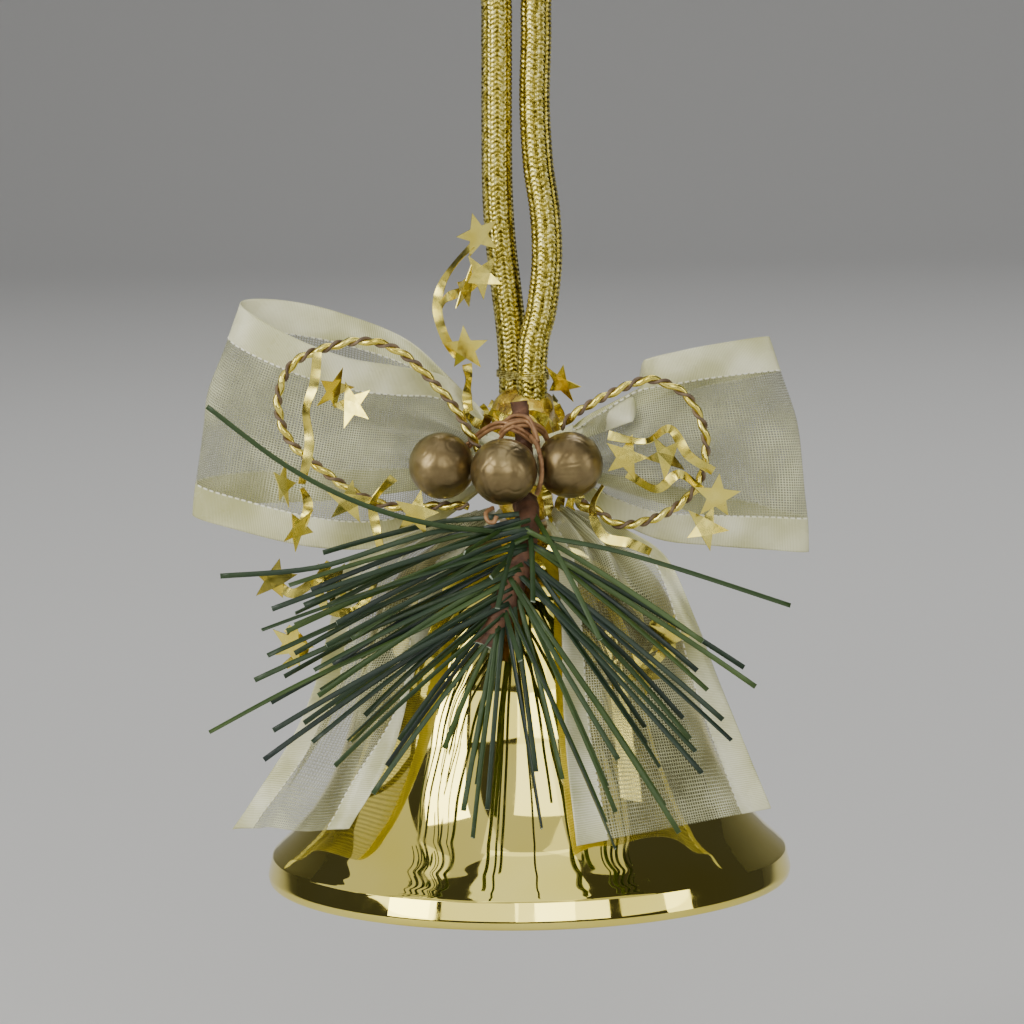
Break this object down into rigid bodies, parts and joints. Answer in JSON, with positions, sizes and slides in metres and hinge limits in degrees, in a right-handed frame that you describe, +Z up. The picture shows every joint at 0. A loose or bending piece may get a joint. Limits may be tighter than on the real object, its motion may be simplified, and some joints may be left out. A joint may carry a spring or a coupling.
{
  "type": "christmas bell ornament",
  "caption": "Polished bell with a free-swinging clapper, hung on a doubled woven cord and dressed with an organza bow, berries, a pine sprig and a star garland.",
  "frame": {"origin": "the point at the top of the cord's loop that rests on a hook or twig", "axes": "+Z up along the bell's axis, -Y to the dressed front, +X to the front view's right"},
  "size_m": [0.1026, 0.0899, 0.181],
  "materials": {
    "polished_gold": "mirror polish, vacuum plated gold",
    "brass_wire": "drawn wire, satin",
    "clapper_brass": "tumbled, satin",
    "woven_cord": "tubular braid with metallic yarn",
    "gold_thread": "metallic thread, tightly wound",
    "organza": "sheer organza with satin edge bands",
    "amber_glue": "hot glue and crumpled foil",
    "pearl_bronze": "pearlescent lacquer",
    "paper_wrap": "florist's paper wound on wire",
    "pine_needles": "flat cut strips with a soft gloss",
    "twisted_foil": "gold foil twisted with brown wire",
    "gold_foil": "bright foil, lightly creased"
  },
  "bodies": {
    "hanger": {"hanging_cord": "woven_cord", "star_strand_top": "gold_foil"},
    "cord_band": {"cord_whipping": "gold_thread"},
    "bell": {"bell_shell": "polished_gold", "crown_washer": "brass_wire", "inside_washer": "brass_wire", "crown_pin": "brass_wire", "glue_collar": "amber_glue", "bow_loop_left": "organza", "bow_loop_right": "organza", "bow_tail_left": "organza", "bow_tail_right": "organza", "bow_knot": "organza", "berry_left": "pearl_bronze", "berry_centre": "pearl_bronze", "berry_right": "pearl_bronze", "berry_stems": "paper_wrap", "sprig_stem": "paper_wrap", "needles_left": "pine_needles", "needles_down": "pine_needles", "needles_right": "pine_needles", "needles_stray": "pine_needles", "garland_loop_left": "twisted_foil", "garland_loop_right": "twisted_foil", "star_strand_left": "gold_foil", "star_strand_right": "gold_foil", "star_strand_low": "gold_foil"},
    "clapper_link": {"clapper_link": "brass_wire"},
    "clapper": {"clapper_rod": "brass_wire", "clapper_ball": "clapper_brass"}
  },
  "joints": [
    {"name": "cord_sway", "type": "hinge", "parent": "hanger", "child": "cord_band", "pos_m": [0.0003, -0.0016, -0.091], "axis": [0, 1, 0], "range_deg": [-15, 15], "deforming": ["hanging_cord", "star_strand_top"]},
    {"name": "cord_nod", "type": "hinge", "parent": "cord_band", "child": "bell", "pos_m": [0.0003, -0.0016, -0.091], "axis": [1, 0, 0], "range_deg": [-15, 15]},
    {"name": "link_swing", "type": "hinge", "parent": "bell", "child": "clapper_link", "pos_m": [0, 0, -0.1242], "axis": [1, 0, 0], "range_deg": [-26, 26]},
    {"name": "clapper_swing", "type": "hinge", "parent": "clapper_link", "child": "clapper", "pos_m": [0, 0, -0.1287], "axis": [0, 1, 0], "range_deg": [-26, 26]}
  ]
}
